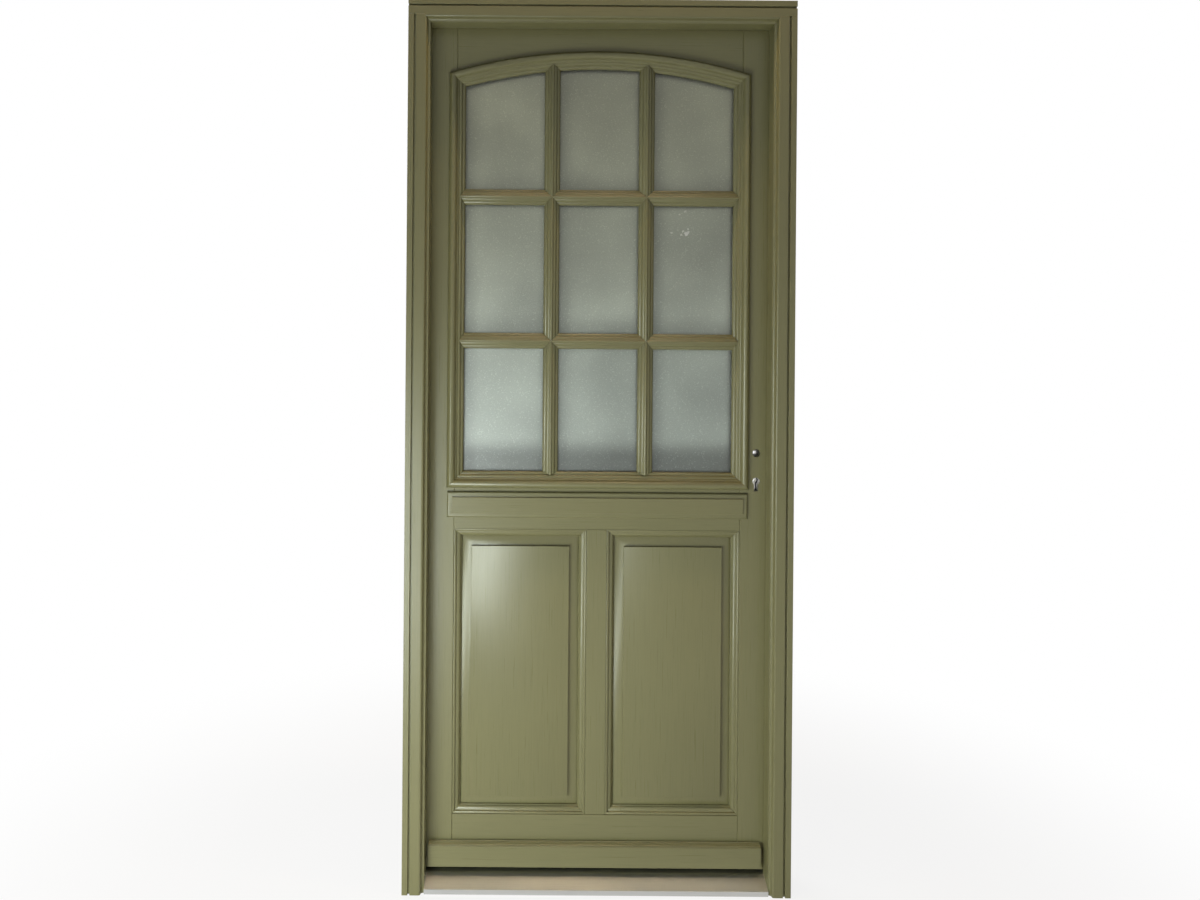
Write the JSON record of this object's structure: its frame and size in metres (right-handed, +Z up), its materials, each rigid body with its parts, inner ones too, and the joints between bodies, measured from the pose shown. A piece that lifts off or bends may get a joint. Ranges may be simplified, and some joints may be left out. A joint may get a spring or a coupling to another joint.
{
  "type": "front door with frame",
  "caption": "Painted wooden front door in its frame: arched glazing behind mitred moulded bars, raised panels below, a weather bar, lift-off hinges and a mortise lock.",
  "frame": {"origin": "middle of the sill's underside, halfway through the frame's depth", "axes": "+X to the right seen from outside, +Y into the house, +Z up"},
  "size_m": [0.942, 0.137, 2.172],
  "materials": {
    "paint": "satin olive green paint",
    "obscure_glass": "translucent, finely grained",
    "sill_metal": "mill",
    "hardware": "bright satin",
    "seal": "matt black"
  },
  "bodies": {
    "frame": {"bottom_hinge_frame_half": "hardware", "bottom_hinge_pin": "hardware", "frame_head": "paint", "head_facing": "paint", "head_seal": "seal", "hinge_jamb": "paint", "hinge_jamb_facing": "paint", "hinge_jamb_seal": "seal", "lock_jamb": "paint", "lock_jamb_facing": "paint", "lock_jamb_seal": "seal", "middle_hinge_frame_half": "hardware", "middle_hinge_pin": "hardware", "sill": "sill_metal", "sill_seal": "seal", "strike_plate": "hardware", "top_hinge_frame_half": "hardware", "top_hinge_pin": "hardware"},
    "leaf": {"bolection_arch": "paint", "bolection_bottom": "paint", "bolection_left": "paint", "bolection_right": "paint", "bottom_hinge_leaf_half": "hardware", "bottom_rail": "paint", "forend": "hardware", "glazing_bead_arch": "paint", "glazing_bead_bottom": "paint", "glazing_bead_left": "paint", "glazing_bead_right": "paint", "hinge_stile": "paint", "inner_cross_bars": "paint", "inner_pane": "obscure_glass", "inner_upright_bars": "paint", "left_panel": "paint", "left_panel_inner_moulding": "paint", "left_panel_outer_moulding": "paint", "left_upright_bar": "paint", "lock_case": "hardware", "lock_cover": "hardware", "lock_rail": "paint", "lock_stile": "paint", "lower_cross_bar": "paint", "middle_hinge_leaf_half": "hardware", "muntin": "paint", "outer_pane": "obscure_glass", "right_panel": "paint", "right_panel_inner_moulding": "paint", "right_panel_outer_moulding": "paint", "right_upright_bar": "paint", "spacer": "sill_metal", "table_block": "paint", "top_hinge_leaf_half": "hardware", "top_rail": "paint", "upper_cross_bar": "paint", "weather_bar": "paint"},
    "follower": {"follower": "hardware"},
    "latch_bolt": {"latch_bolt": "hardware"},
    "dead_bolt": {"dead_bolt": "hardware"}
  },
  "joints": [
    {"name": "leaf_swing", "type": "hinge", "parent": "frame", "child": "leaf", "pos_m": [-0.4315, 0.069, 0], "axis": [0, 0, 1], "range_deg": [0, 110]},
    {"name": "follower_turn", "type": "hinge", "parent": "leaf", "child": "follower", "pos_m": [0.395, 0.032, 1.07], "axis": [0, 1, 0], "range_deg": [0, 42]},
    {"name": "latch_slide", "type": "slide", "parent": "leaf", "child": "latch_bolt", "axis": [1, 0, 0], "range_m": [0, 0.012]},
    {"name": "dead_bolt_slide", "type": "slide", "parent": "leaf", "child": "dead_bolt", "axis": [1, 0, 0], "range_m": [0, 0.02]}
  ],
  "couplings": [
    {"joint": "follower_turn", "follows": "latch_slide", "rad_per_m": 58.178}
  ]
}
